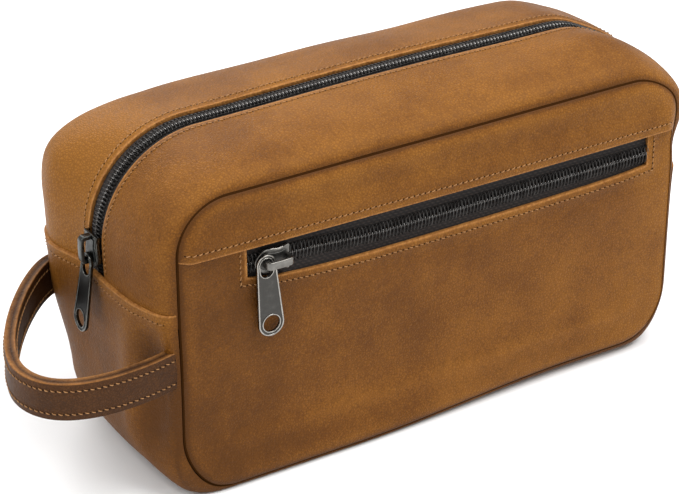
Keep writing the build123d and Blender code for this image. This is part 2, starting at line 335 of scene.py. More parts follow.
def depth_rows(near, far, count):
    """Depths from near to far, closer together towards the seams."""
    def angle(y):
        return math.copysign(math.asin(min(1.0, (abs(y) / SEAM_Y)) ** (PILLOW / 2)), y)
    turn = np.linspace(angle(near), angle(far), count)
    return np.sign(turn) * SEAM_Y * np.abs(np.sin(turn)) ** (2 / PILLOW)


def rounding(depth, exponent):
    """A rounded section: 1 in the bag's middle plane, 0 at its seams."""
    share = np.clip(np.abs(depth) / SEAM_Y, 0, 1)
    return (1 - share ** exponent) ** (1 / exponent)


def slump(points):
    """How the soft leather departs from its plain form, as a field that every sewn piece follows."""
    x, y, z = (points[..., k] for k in range(3))
    moved = points.copy()
    side = smooth((np.abs(x) - 100) / 20)
    left = side * (x < 0)
    right = side * (x > 0)
    # the -X side: a ridge beside the handle's front end with a dent between it and the seam
    level = smooth((z - 8) / 25) * (1 - smooth((z - 66) / 26))
    dent = bump(y, -36, 6) * bump(z, 50, 32) * DENT
    ridge = bump(y, -23, 7) * bump(z, 42, 34) * RIDGE
    moved[..., 0] += left * level * (dent - ridge)
    # its back half is pushed out from inside
    full = smooth((y - 8) / 26) * smooth((z - 22) / 45)
    moved[..., 0] -= left * full * BACK_BULGE
    moved[..., 1] += left * smooth((y - 30) / 14) * bump(z, 95, 38) * BACK_SPREAD
    corner = smooth((y - 4) / 24) * bump(z, 120, 17) * smooth((-x - 82) / 26)
    moved[..., 0] -= corner * SHOULDER_OUT
    moved[..., 2] += corner * SHOULDER_UP
    # the slack +X side falls in behind the front seam, and its upper corner stands out
    slack = (rounding(y, PILLOW) - rounding(y, SLACK)) * (HALF - SEAM_X)
    moved[..., 0] -= right * slack * (1 - smooth((z - 92) / 18)) * (y < 0)
    moved[..., 0] += right * bump(z, 120, 13) * CORNER_OUT
    moved[..., 0] += right * SIDE_OUT * smooth((z - 15) / 15) * (1 - smooth((z - 85) / 15))
    # the top sinks round the zip at its +X end, and its front half swells beside that
    top = smooth((z - 118) / 10)
    hollow = 0.1 + 0.9 * bump(y, -2, 18) + 0.25 * smooth((y - 5) / 20)
    moved[..., 2] -= HOLLOW * bump(x, 106, 15) * top * hollow
    moved[..., 2] += SWELL * bump(x, 92, 24) * bump(y, -21, 14) * top
    moved[..., 2] -= SHOULDER_DROP * bump(x, -96, 12) * top * smooth((y - 4) / 20)
    # the -X side's lower corner is rounder
    moved[..., 0] += left * LOW_CORNER * (1 - smooth(z / 30))
    # the base gusset pulls in a little below its edge at both ends
    waist = bump(z, 60, 26) * (1 - (np.clip(np.abs(y), 0, 45) / 45) ** 2) * WAIST
    moved[..., 0] -= np.sign(x) * side * waist
    # the front's lower edge rolls forwards and down towards the handle
    near = smooth((-y - 22) / 20) * smooth((30 - z) / 26) * smooth((70 - x) / 110)
    moved[..., 1] -= near * FOOT_OUT
    moved[..., 2] -= near * np.clip(z, 0, FOOT_LIFT) * 0.8
    # the back of the top sinks
    sink = 0.9 - 0.6 * bump(x, -48, 28) + 1.0 * smooth((x - 84) / 16) * (1 - smooth((x - 104) / 12))
    moved[..., 2] -= sink * smooth((y - 4) / 26) * smooth((z - 112) / 14)
    # slow waves over the top
    wave = 0.5 * np.sin(x / 23.0 + 1.3) * np.sin(y / 15.0 + 0.6) + 0.35 * np.sin(x / 11.0 + y / 19.0)
    moved[..., 2] += wave * smooth((z - 128) / 8) * np.clip((np.abs(y) - 8) / 14, 0, 1) * 0.9
    return moved


def gusset_points(path, depths, inset=0.0):
    rows = []
    for depth in depths:
        x, z = path(float(pillow(depth)), inset)
        rows.append(np.stack([x, np.full(len(x), depth), z], -1))
    return slump(np.array(rows))


def seam_distance(x, z):
    """How far a point of the front or back lies inside the seam's rounded outline."""
    middle = (SEAM_TOP + SEAM_LOW) / 2
    qx = np.abs(x) - (SEAM_X - SEAM_RADIUS)
    qz = np.abs(z - middle) - ((SEAM_TOP - SEAM_LOW) / 2 - SEAM_RADIUS)
    outside = np.hypot(np.maximum(qx, 0), np.maximum(qz, 0)) + np.minimum(np.maximum(qx, qz), 0)
    return SEAM_RADIUS - outside


def face_depth(x, z):
    """How far the front or back panel's outer surface stands from the bag's middle plane."""
    inside = np.clip(seam_distance(x, z), 0, None)
    roll = np.clip(inside / ROLL, 0, 1)
    shoulder = np.sqrt(np.clip(1 - (1 - roll) ** 2, 0, 1))
    high = (z - SEAM_LOW) / (SEAM_TOP - SEAM_LOW)
    belly = (1 - np.clip(np.abs(x) / SEAM_X, 0, 1) ** 4) * np.clip(4 * high * (1 - high), 0, 1)
    fold = 0.35 * bump(seam_distance(x, z), 17, 3.5) * smooth((40 - z) / 12)
    wave = 0.3 * np.sin(x / 31.0 + 0.4) * np.sin(z / 19.0 + 1.0) * np.clip(inside / 20, 0, 1)
    return SEAM_Y - 0.1 + LEATHER * shoulder + 0.7 * belly + fold + wave


def panel_rows(low, high, extra=()):
    """Heights of a panel's rows, dense where the outline's corners turn."""
    rows = [low, high, *extra]
    for start, end, step in ((SEAM_LOW, SEAM_LOW + 6, 0.7), (SEAM_LOW + 6, SEAM_LOW + 22, 1.4),
                             (SEAM_LOW + 22, SEAM_TOP - 22, 2.4), (SEAM_TOP - 22, SEAM_TOP - 6, 1.4),
                             (SEAM_TOP - 6, SEAM_TOP, 0.7)):
        rows += list(np.arange(start, end, step))
    rows += [SEAM_TOP, SEAM_LOW + 0.06, SEAM_LOW + 0.25, SEAM_TOP - 0.06, SEAM_TOP - 0.25]
    rows = np.unique(np.round([r for r in rows if low - 1e-6 <= r <= high + 1e-6], 4))
    fixed = {round(v, 4) for v in (low, high, *extra)}
    kept = [rows[0]]
    for r in rows[1:]:
        if r - kept[-1] > 0.5 or r in fixed or r - SEAM_LOW < 0.5 or SEAM_TOP - r < 0.5:
            kept.append(r)
    return np.array(kept)


def panel_columns(extra=()):
    """Places across a panel as shares of its half width, dense beside the seams."""
    inner = np.arange(-SEAM_X + 12, SEAM_X - 12 + 0.1, 2.6)
    rim = SEAM_X - np.array([0, 0.06, 0.3, 0.7, 1.2, 1.8, 2.6, 3.5, 4.6, 6.0, 7.8, 9.8])
    places = np.unique(np.round(np.concatenate([-rim, rim, inner, list(extra)]), 4))
    fixed = [round(v, 4) for v in extra]
    far = [p for p in places if p in fixed or all(abs(p - f) > 0.8 for f in fixed)]
    return np.array(far) / SEAM_X


def half_width(z):
    """Half width of the seam's outline at a height."""
    middle = (SEAM_TOP + SEAM_LOW) / 2
    into = np.clip(np.abs(z - middle) - ((SEAM_TOP - SEAM_LOW) / 2 - SEAM_RADIUS), 0, SEAM_RADIUS)
    return SEAM_X - SEAM_RADIUS + np.sqrt(np.clip(SEAM_RADIUS ** 2 - into ** 2, 0, None))


# === materials ====================================================================
class Nodes:
    """Builds one material's shader tree."""

    def __init__(self, name):
        self.material = bpy.data.materials.new(name)
        self.material.use_nodes = True
        self.tree = self.material.node_tree
        self.shader = self.tree.nodes["Principled BSDF"]
        self.position = self.add("ShaderNodeTexCoord").outputs["Object"]

    def add(self, kind, **settings):
        node = self.tree.nodes.new(kind)
        for key, value in settings.items():
            setattr(node, key, value)
        return node

    def link(self, source, target):
        if isinstance(source, (int, float, tuple)):
            target.default_value = source
        else:
            self.tree.links.new(source, target)

    def noise(self, scale, detail=3.0, roughness=0.55, stretch=None):
        node = self.add("ShaderNodeTexNoise")
        place = self.position
        if stretch:
            mapping = self.add("ShaderNodeMapping")
            mapping.inputs["Scale"].default_value = stretch
            self.link(self.position, mapping.inputs["Vector"])
            place = mapping.outputs["Vector"]
        self.link(place, node.inputs["Vector"])
        node.inputs["Scale"].default_value = scale
        node.inputs["Detail"].default_value = detail
        node.inputs["Roughness"].default_value = roughness
        return node.outputs["Fac"]

    def cell_walls(self, scale):
        node = self.add("ShaderNodeTexVoronoi", feature="DISTANCE_TO_EDGE")
        self.link(self.position, node.inputs["Vector"])
        node.inputs["Scale"].default_value = scale
        return node.outputs["Distance"]

    def attribute(self, name):
        return self.add("ShaderNodeAttribute", attribute_name=name).outputs["Fac"]

    def math(self, operation, a, b):
        node = self.add("ShaderNodeMath", operation=operation)
        self.link(a, node.inputs[0])
        self.link(b, node.inputs[1])
        return node.outputs[0]

    def weighted(self, *terms):
        """Sum of values, each with its weight."""
        total = None
        for value, weight in terms:
            part = self.math("MULTIPLY", value, weight)
            total = part if total is None else self.math("ADD", total, part)
        return total

    def scaled(self, value, low, high, to_low=0.0, to_high=1.0):
        node = self.add("ShaderNodeMapRange")
        node.interpolation_type = "SMOOTHSTEP"
        for key, number in (("From Min", low), ("From Max", high),
                            ("To Min", to_low), ("To Max", to_high)):
            node.inputs[key].default_value = number
        self.link(value, node.inputs["Value"])
        return node.outputs["Result"]

    def ramp(self, value, stops):
        node = self.add("ShaderNodeValToRGB")
        ramp = node.color_ramp
        while len(ramp.elements) < len(stops):
            ramp.elements.new(0.5)
        for element, (place, colour) in zip(ramp.elements, stops):
            element.position = place
            element.color = (*colour, 1)
        self.link(value, node.inputs["Fac"])
        return node.outputs["Color"]

    def mix(self, factor, a, b, blend="MIX"):
        node = self.add("ShaderNodeMix", data_type="RGBA", blend_type=blend)
        self.link(factor, node.inputs["Factor"])
        for value, socket in ((a, node.inputs[6]), (b, node.inputs[7])):
            self.link((*value, 1) if isinstance(value, tuple) else value, socket)
        return node.outputs[2]

    def bumps(self, layers):
        """Adds bump layers of (height, depth in millimetres)."""
        normal = None
        for height, depth in layers:
            node = self.add("ShaderNodeBump")
            node.inputs["Distance"].default_value = depth * MM
            node.inputs["Strength"].default_value = 1.0
            self.link(height, node.inputs["Height"])
            if normal is not None:
                self.link(normal, node.inputs["Normal"])
            normal = node.outputs["Normal"]
        self.link(normal, self.shader.inputs["Normal"])

    def finish(self, colour, roughness, metallic=0.0, specular=0.5, sheen=0.0):
        inputs = self.shader.inputs
        for value, key in ((colour, "Base Color"), (roughness, "Roughness")):
            self.link((*value, 1) if isinstance(value, tuple) else value, inputs[key])
        inputs["Metallic"].default_value = metallic
        inputs["Specular IOR Level"].default_value = specular
        inputs["Sheen Weight"].default_value = sheen
        return self.material


def leather(name, dark, middle, light, edge_light, edge_dark, mottle=1.0):
    """Waxed pull-up leather: cloudy colour, fine grain and paler cut edges, with painted highlights and
    painted shade from its light-and-tone attribute.
    """
    n = Nodes(name)
    clouds = n.noise(15, 4, 0.6)
    patches = n.noise(48, 5, 0.62)
    fine = n.noise(330, 6, 0.7)
    specks = n.noise(1500, 3, 0.7)
    # the light-and-tone attribute adds painted highlights on rolls, ridges and lips and painted shade in
    # grooves and dents, with some plain tone differences between pieces
    mixed = n.weighted((clouds, 0.85 * mottle), (patches, 0.55 * mottle), (fine, 0.36), (specks, 0.85),
                       (n.attribute("painted_light_and_tone"), 0.6))
    centre = (1.4 * mottle + 1.21) / 2
    share = n.scaled(mixed, centre - 0.42, centre + 0.42)
    colour = n.ramp(share, [(0.0, dark), (0.5, middle), (1.0, light)])
    # hair cells of the grain
    cell = n.cell_walls(820)
    pores = n.scaled(cell, 0.0, 0.24)
    colour = n.mix(n.math("MULTIPLY", n.math("SUBTRACT", 1.0, pores), 0.42), colour, dark)
    # cut edges show raw fibre
    fibre = n.noise(700, 4, 0.8, stretch=(1, 1, 0.35))
    raw = n.mix(n.scaled(fibre, 0.35, 0.65), edge_dark, edge_light)
    edge = n.math("ADD", n.attribute("edge"), n.math("MULTIPLY", n.math("SUBTRACT", patches, 0.5), 0.5))
    colour = n.mix(n.scaled(edge, 0.42, 0.92), colour, raw)
    creases = n.noise(95, 6, 0.7)
    n.bumps([(clouds, 0.5), (creases, 0.30), (fine, 0.22), (cell, 0.34), (specks, 0.10)])
    rough = n.scaled(n.math("ADD", fine, n.math("MULTIPLY", clouds, 0.6)), 0.4, 1.2, 0.42, 0.60)
    return n.finish(colour, rough, specular=0.12)


def woven(name, colour, light, thread=2300.0, depth=0.08):
    """Tightly woven cloth."""
    n = Nodes(name)
    wave_a = n.add("ShaderNodeTexWave", bands_direction="DIAGONAL")
    wave_b = n.add("ShaderNodeTexWave", bands_direction="Z")
    for wave in (wave_a, wave_b):
        n.link(n.position, wave.inputs["Vector"])
        wave.inputs["Scale"].default_value = thread / 7
        wave.inputs["Distortion"].default_value = 0.6
    weave = n.math("MULTIPLY", wave_a.outputs["Fac"], wave_b.outputs["Fac"])
    fuzz = n.noise(thread, 3, 0.6)
    mixed = n.weighted((weave, 0.6), (fuzz, 0.5))
    n.bumps([(mixed, depth)])
    return n.finish(n.mix(n.scaled(mixed, 0.2, 0.9), colour, light), 0.85, specular=0.25, sheen=0.25)


def metal(name, dark, light, rough_low, rough_high):
    """Plated metal with fine scratches, darker and rougher where its recess attribute is high; on the
    zip coils that attribute paints shade on the turns and a highlight on the loops' heads.
    """
    n = Nodes(name)
    cloud = n.noise(260, 4, 0.6)
    scratch = n.noise(1400, 4, 0.65, stretch=(1, 1, 0.12))
    recess = n.attribute("recess")
    shade_by = n.weighted((cloud, 0.5), (recess, -0.55))
    colour = n.mix(n.scaled(shade_by, -0.35, 0.55), dark, light)
    rough = n.weighted((n.scaled(cloud, 0.3, 0.7, rough_low, rough_high), 1.0), (recess, 0.18))
    n.bumps([(scratch, 0.006), (cloud, 0.02)])
    return n.finish(colour, rough, metallic=1.0)


def thread_material(name, colour, light):
    n = Nodes(name)
    twist = n.noise(2600, 2, 0.5)
    n.bumps([(twist, 0.05)])
    return n.finish(n.mix(n.scaled(twist, 0.3, 0.7), colour, light), 0.6, specular=0.4)


TAN = leather("tan_leather", (0.082, 0.028, 0.0032), (0.158, 0.057, 0.0068), (0.255, 0.101, 0.014),
              (0.38, 0.17, 0.045), (0.22, 0.085, 0.020))
STRAP_TAN = leather("strap_leather", (0.030, 0.011, 0.003), (0.060, 0.023, 0.0065),
                    (0.105, 0.042, 0.012), (0.36, 0.16, 0.045), (0.20, 0.08, 0.022), mottle=0.8)
# dark brown for the cord at the bottom of each seam's groove: painted shade
SEAM_GROOVE_SHADE = Nodes("seam_groove_shade").finish((0.034, 0.013, 0.0035), 0.9, specular=0.0)
LINING = woven("lining_weave", (0.012, 0.010, 0.009), (0.045, 0.038, 0.033))
TAPE = woven("zip_tape_weave", (0.006, 0.004, 0.0035), (0.030, 0.020, 0.016), thread=1800, depth=0.12)
THREAD = thread_material("gold_thread", (0.20, 0.088, 0.023), (0.38, 0.19, 0.065))
# dark discs at the needle holes: painted shade in the holes
NEEDLE_HOLE_SHADE = Nodes("needle_hole_shade").finish((0.018, 0.008, 0.003), 0.9, specular=0.1)
COIL = metal("coil_gunmetal", (0.006, 0.005, 0.0045), (0.25, 0.24, 0.23), 0.18, 0.30)
BLACK_NICKEL = metal("black_nickel", (0.025, 0.026, 0.025), (0.135, 0.135, 0.125), 0.14, 0.26)
OLD_NICKEL = metal("antique_nickel", (0.06, 0.058, 0.054), (0.44, 0.42, 0.385), 0.18, 0.32)


# === stitches =====================================================================
def stitch_row(name, line, inner):
    """Single lockstitches along a line on the leather; inner is a line beside it, to its left."""
    total = along(line)[-1]
    pitch = STITCH_PITCH
    count = int(total / pitch)
    start = (total - count * pitch) / 2
    random = np.random.default_rng(len(name) + count)
    # five sections of a stitch: place along it, height over the leather and thread radius
    shares = np.array([0.0, 0.16, 0.5, 0.84, 1.0])
    rise = np.array([-0.22, 0.08, 0.2, 0.08, -0.22])
    thick = np.array([0.15, 0.22, 0.25, 0.22, 0.15])
    verts, faces, material_index = [], [], []
    gap = 0.17 * pitch

    def add(new_verts, new_faces, slot):
        offset = sum(len(v) for v in verts)
        verts.append(new_verts)
        faces.extend([[offset + k for k in f] for f in new_faces])
        material_index.extend([slot] * len(new_faces))

    ratio = along(inner)[-1] / total
    for k in range(count):
        wander = random.uniform(-0.07, 0.07, 2)
        stations = start + k * pitch + gap + shares * (pitch - 2 * gap)
        places = resample(line, stations)
        beside = resample(inner, stations * ratio)
        ahead = unit(places[-1] - places[0])
        across = beside[2] - places[2]
        across = unit(across - ahead * (across @ ahead))
        normal = unit(np.cross(ahead, across))
        outward = places[2] - np.array([0, 0, TOP / 2])
        if normal @ outward < 0 and not name.startswith("handle_inner"):
            normal = -normal
        slant = np.linspace(-STITCH_LEAN, STITCH_LEAN, 5) + wander[0]
        centres = places + normal * rise[:, None] + across * slant[:, None]
        first = np.tile(across, (5, 1))
        second = np.tile(normal, (5, 1))
        add(*tube_mesh(centres, thick, 6, first, second), 0)
        # a dark disc at each needle hole, painted shade in the hole
        hole = resample(line, np.array([start + k * pitch]))[0] + across * wander[1]
        ring = tube_mesh(np.array([hole - normal * 0.3, hole + normal * 0.03]), [HOLE_RADIUS] * 2, 7,
                         np.tile(ahead, (2, 1)), np.tile(across, (2, 1)))
        add(*ring, 1)
    obj = new_object(name, np.concatenate(verts), faces)
    shade(obj, [THREAD, NEEDLE_HOLE_SHADE], 60)
    obj.data.polygons.foreach_set("material_index", material_index)
    return obj


def on_mouth(obj):
    """A sewn piece, with its placement baked into its mesh."""
    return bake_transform(obj)


def top_strips():
    for side, sign in (("front", -1), ("back", 1)):
        depths = depth_rows(sign * STRIP_EDGE, sign * (SEAM_Y - 0.02), 34)
        points = gusset_points(strip_path, depths)
        # the cut edge beside the zip is turned down a little
        from_zip = np.abs(points[..., 1]) - STRIP_EDGE
        inwards = unit(np.array([0, 0, TOP * 0.45]) - points)
        points = points + inwards * (0.5 * bump(from_zip, 0, 1.6))[..., None]
        # painted light: a highlight on the roll beside the seam, shade in the seam's groove, a highlight
        # along the turned-down zip edge, lighter on the top and on the back strip's -X end
        share = np.abs(points[..., 1]) / SEAM_Y
        painted_light_and_tone = 0.14 * bump(share, 0.93, 0.06) - 0.4 * bump(share, 1.0, 0.010)
        painted_light_and_tone += 0.08 * bump(from_zip, 1.5, 2.5) + 0.15 * smooth((points[..., 2] - 120) / 20)
        painted_light_and_tone += 0.7 * smooth((-points[..., 0] - 85) / 25) * (sign > 0)
        strip = sheet_of_leather(f"top_strip_{side}", points, TAN,
                                 edge=bump(from_zip, 0, 0.35), painted_light_and_tone=painted_light_and_tone)
        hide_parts(f"top_gusset_{side}", f"top_gusset_{side}_ends")
        on_mouth(strip)
        near = STRIP_EDGE + ZIP_ROW
        lines = gusset_points(strip_path, [sign * near, sign * (near + ROW_SIDE)])
        above = lines[0][:, 2] > BASE_EDGE + 1.5
        row = stitch_row(f"zip_stitches_{side}", lines[0][above], lines[1][above])
        on_mouth(row)


def base_gusset():
    depths = depth_rows(-SEAM_Y + 0.02, SEAM_Y - 0.02, 66)
    points = gusset_points(base_path, depths)
    # it lies over the strips along its edge, then eases back
    below = BASE_EDGE - points[..., 2]
    proud = BASE_PROUD * np.exp(-np.clip(below, 0, None) / 9.0) * (0.35 + 0.65 * pillow(points[..., 1]))
    proud *= smooth((np.abs(points[..., 0]) - 90) / 20)
    points[..., 0] += np.sign(points[..., 0]) * proud
    # painted light: a highlight on the roll beside each seam, shade in the seam's groove, a highlight on
    # the lip just below the edge, and shade towards the bottom
    share = np.abs(points[..., 1]) / SEAM_Y
    painted_light_and_tone = 0.12 * bump(share, 0.93, 0.06) - 0.4 * bump(share, 1.0, 0.010)
    x, y, z = (points[..., k] for k in range(3))
    painted_light_and_tone += 0.35 * bump(below, 2.0, 3.0) - 0.25 * smooth((70 - z) / 60)
    # the -X side gets a painted highlight on its ridge and painted shade in its dent
    painted_light_and_tone += 0.35 * bump(y, -23, 5) * bump(z, 40, 30) * (x < 0)
    painted_light_and_tone -= (0.15 + 0.5 * bump(y, -37, 8)) * smooth((76 - z) / 20) * smooth((z - 12) / 24) * (x < 0)
    gusset = sheet_of_leather("base_leather", points, TAN, edge=bump(below, 0, 0.5), painted_light_and_tone=painted_light_and_tone)
    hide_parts("base_gusset")
    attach(gusset, "base")
    for name, first, third in (("left", 0, 2), ("right", -1, -3)):
        edge_line = points[:, first]
        step = unit(points[:, third] - edge_line)
        line = edge_line + step * BASE_ROW
        inner = edge_line + step * (BASE_ROW + ROW_SIDE)
        keep = np.abs(line[:, 1]) < SEAM_Y - 1.5
        row = stitch_row(f"base_edge_stitches_{name}", line[keep], inner[keep])
        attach(row, "base")


def yoke_edge(x):
    share = (x + SEAM_X) / (2 * SEAM_X)
    return YOKE_EDGE_LEFT + (YOKE_EDGE_RIGHT - YOKE_EDGE_LEFT) * share - 0.4 * np.sin(np.pi * share)


def window_low(x):
    """The window's lower edge sags between its ends."""
    share = np.clip((x - WINDOW_LEFT) / (WINDOW_RIGHT - WINDOW_LEFT), 0, 1)
    run = WINDOW_RIGHT - WINDOW_LEFT
    ends = 3.8 * np.exp(-share * run / 14) + 1.3 * np.exp(-(1 - share) * run / 10)
    return WINDOW_LOW + ends - 1.2 * np.sin(np.pi * share)


def seam_shade_and_highlight(inside):
    """Painted shade in the seam's groove of the front and back, and a painted highlight on the roll
    beside it.
    """
    return 0.16 * bump(inside, 4, 2.5) - 0.9 * bump(inside, 0, 1.1)


def end_light_and_shade(x):
    """Painted light across the front: painted shade towards the handle and painted light at the other
    end.
    """
    return 0.05 + 0.14 * smooth((x - 70) / 40) - 0.32 * smooth((-30 - x) / 80)


def front_panel():
    columns = panel_columns((WINDOW_LEFT, WINDOW_RIGHT))
    rows = panel_rows(SEAM_LOW, YOKE_LAP_TOP, (WINDOW_LOW,))
    t, z = np.meshgrid(columns, rows)
    x = t * half_width(z)
    # bend the rows near the window to its sagging lower edge
    z = z + (window_low(x) - WINDOW_LOW) * bump(z, WINDOW_LOW, 14) * (z < YOKE_LAP_TOP - 1)
    depth = face_depth(x, z)
    to_left = np.maximum(WINDOW_LEFT - x, 0)
    to_right = np.maximum(x - WINDOW_RIGHT, 0)
    to_low = np.maximum(window_low(x) - z, 0)
    from_window = np.hypot(np.maximum(to_left, to_right), to_low)
    depth = depth + 0.5 * bump(from_window, 2.5, 2.5) - 0.4 * bump(from_window, 7, 3)
    points = slump(np.stack([x, -depth, z], -1))
    inside = seam_distance(x, z)
    painted_light_and_tone = seam_shade_and_highlight(inside) + 0.4 * bump(from_window, 0, 3.0)
    # painted highlight on the fold near the lower edge, and painted light and shade across the front
    painted_light_and_tone += 0.18 * bump(inside, 17, 3) * smooth((40 - z) / 12) + end_light_and_shade(x)
    mid_x = (x[:-1, :-1] + x[1:, 1:]) / 2
    mid_row = (rows[:-1] + rows[1:]) / 2
    hole = (mid_x > WINDOW_LEFT) & (mid_x < WINDOW_RIGHT) & (mid_row[:, None] > WINDOW_LOW)
    panel = sheet_of_leather("front_leather", points, TAN, edge=bump(from_window, 0, 0.7), painted_light_and_tone=painted_light_and_tone,
                             keep=~hole, outward=(0, -1, 0))
    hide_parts("front_panel", "front_panel_lap")
    on_mouth(panel)
    window_stitches()


def window_stitches():
    """The row round the window's ends and lower edge."""
    def corner_path(offset):
        left, right = WINDOW_LEFT - offset, WINDOW_RIGHT + offset
        down = np.linspace(yoke_edge(left) - 0.5, window_low(left) - offset, 12)
        across = np.linspace(left, right, 120)
        up = np.linspace(window_low(right) - offset, yoke_edge(right) - 0.5, 12)
        x = np.concatenate([np.full(12, left), across, np.full(12, right)])
        z = np.concatenate([down, window_low(across) - offset, up])
        return slump(np.stack([x, -face_depth(x, z) - 0.35, z], -1))
    row = stitch_row("window_stitches", corner_path(WINDOW_ROW), corner_path(WINDOW_ROW + ROW_SIDE))
    on_mouth(row)


def yoke_lift(x, z):
    """How far the yoke stands off the panel it laps."""
    over = z - yoke_edge(x)
    return 1.75 - 1.35 * smooth((over - 5) / 9)


def yoke_point(x, z):
    roll = smooth(seam_distance(x, z) / ROLL)
    return slump(np.stack([x, -face_depth(x, z) - yoke_lift(x, z) * roll, z], -1))


def front_yoke():
    columns = panel_columns()
    rows = panel_rows(YOKE_EDGE_RIGHT + 0.6, SEAM_TOP)
    share = (rows - rows[0]) / (rows[-1] - rows[0])
    t, s = np.meshgrid(columns, share)
    plain = np.meshgrid(columns, rows)[1]
    x = t * half_width(plain)
    z = plain + (yoke_edge(x) - rows[0]) * (1 - smooth(s * 1.8))
    points = yoke_point(x, z)
    over = z - yoke_edge(x)
    inside = seam_distance(x, z)
    # painted highlight just above the yoke's lower edge, and painted light and shade across the front
    painted_light_and_tone = seam_shade_and_highlight(inside) + 0.25 * bump(over, 0.6, 2.2) + 0.12 + end_light_and_shade(x)
    yoke = sheet_of_leather("yoke_leather", points, TAN, edge=bump(over, 0, 0.55), painted_light_and_tone=painted_light_and_tone,
                            thickness=YOKE_LEATHER, outward=(0, -1, 0))
    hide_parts("front_yoke")
    on_mouth(yoke)
    across = np.linspace(-SEAM_X + 1.5, SEAM_X - 1.5, 200)
    line = yoke_point(across, yoke_edge(across) + YOKE_ROW)
    inner = yoke_point(across, yoke_edge(across) + YOKE_ROW + ROW_SIDE)
    on_mouth(stitch_row("yoke_stitches", line, inner))


def back_panel():
    rows = panel_rows(SEAM_LOW, SEAM_TOP)
    t, z = np.meshgrid(panel_columns(), rows)
    x = t * half_width(z)
    points = slump(np.stack([x, face_depth(-x, z), z], -1))
    inside = seam_distance(x, z)
    painted_light_and_tone = seam_shade_and_highlight(inside) - 0.03
    panel = sheet_of_leather("back_leather", points, TAN, painted_light_and_tone=painted_light_and_tone, outward=(0, 1, 0))
    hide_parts("back_panel_lower", "back_panel_upper")
    on_mouth(panel)


def seam_outline():
    """The seam's rounded outline in X and Z, evenly spaced and closed."""
    middle = (SEAM_TOP + SEAM_LOW) / 2
    reach_x = SEAM_X - SEAM_RADIUS
    reach_z = (SEAM_TOP - SEAM_LOW) / 2 - SEAM_RADIUS
    corners = []
    for k, (side_x, side_z) in enumerate(((1, 1), (-1, 1), (-1, -1), (1, -1))):
        centre = (side_x * reach_x, middle + side_z * reach_z)
        x, z = arc(*centre, SEAM_RADIUS, 90 * k - 7, 90 * k + 90, 14)
        corners.append(np.stack([x, 0 * x, z], -1))
    line = np.concatenate([*corners, corners[0][:1]])
    return resample(line, np.arange(0, along(line)[-1], 2.2))


def seam_cords():
    """The turned-in leather at the bottom of the groove along each seam, coloured dark as painted shade
    in the groove.
    """
    for side, sign in (("front", -1), ("back", 1)):
        line = seam_outline()
        line[:, 1] = sign * (SEAM_Y - 0.35)
        line = slump(line)
        ahead = unit(np.roll(line, -1, axis=0) - np.roll(line, 1, axis=0))
        outwards = np.tile([0.0, float(sign), 0.0], (len(line), 1))
        inwards = np.cross(ahead, outwards)
        verts, faces = tube_mesh(line, np.full(len(line), 0.7), 8, outwards, inwards, loop=True)
        cord = new_object(f"seam_cord_{side}", verts, faces)
        shade(cord, SEAM_GROOVE_SHADE, 60)
        on_mouth(cord)


# === linings and pocket ===========================================================
def linings():
    cloth = {"thickness": LINING_CLOTH, "bevel": 0}
    points = gusset_points(base_path, depth_rows(-LINING_DEPTH, LINING_DEPTH, 30), LINING_INSET)
    ring = sheet_of_leather("lining_bottom", points, LINING, **cloth)
    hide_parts("lining_gusset")
    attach(ring, "base")
    pieces = [ring]
    for side, sign in (("front", -1), ("back", 1)):
        depths = depth_rows(sign * LINING_GAP, sign * LINING_DEPTH, 16)
        points = gusset_points(strip_path, depths, LINING_INSET)
        strip = sheet_of_leather(f"lining_strip_{side}", points, LINING, **cloth)
        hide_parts(f"lining_top_{side}")
        on_mouth(strip)
        low, high = cad(f"lining_{side}_lower")[0], cad(f"lining_{side}_upper")[1]
        t, z = np.meshgrid(np.linspace(-1, 1, 60), np.linspace(low[2], high[2], 50))
        share = (z - low[2]) / (high[2] - low[2])
        x = t * (half_width(SEAM_LOW + share * (SEAM_TOP - SEAM_LOW)) - 4)
        sag = 0.25 * np.sin(x / 17) * np.sin(z / 13)
        y = (low[1] if sign < 0 else high[1]) + sag
        sheet = sheet_of_leather(f"lining_sheet_{side}", np.stack([x, y, z], -1), LINING,
                                 outward=(0, sign, 0), **cloth)
        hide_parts(f"lining_{side}_lower", f"lining_{side}_upper")
        on_mouth(sheet)
        pieces += [strip, sheet]
    for layer in ("front", "back"):
        low, high = cad(f"pocket_bag_{layer}")
        x, z = np.meshgrid(np.linspace(low[0], high[0], 50), np.linspace(low[2], high[2], 24))
        y = np.full_like(x, (low[1] + high[1]) / 2 - 0.2) + 0.15 * np.sin(x / 9) * np.sin(z / 8)
        bag = sheet_of_leather(f"pocket_sheet_{layer}", np.stack([x, y, z], -1), LINING,
                               thickness=POCKET_CLOTH, bevel=0, outward=(0, -1, 0))
        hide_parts(f"pocket_bag_{layer}")
        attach(bag, "base")
        pieces.append(bag)


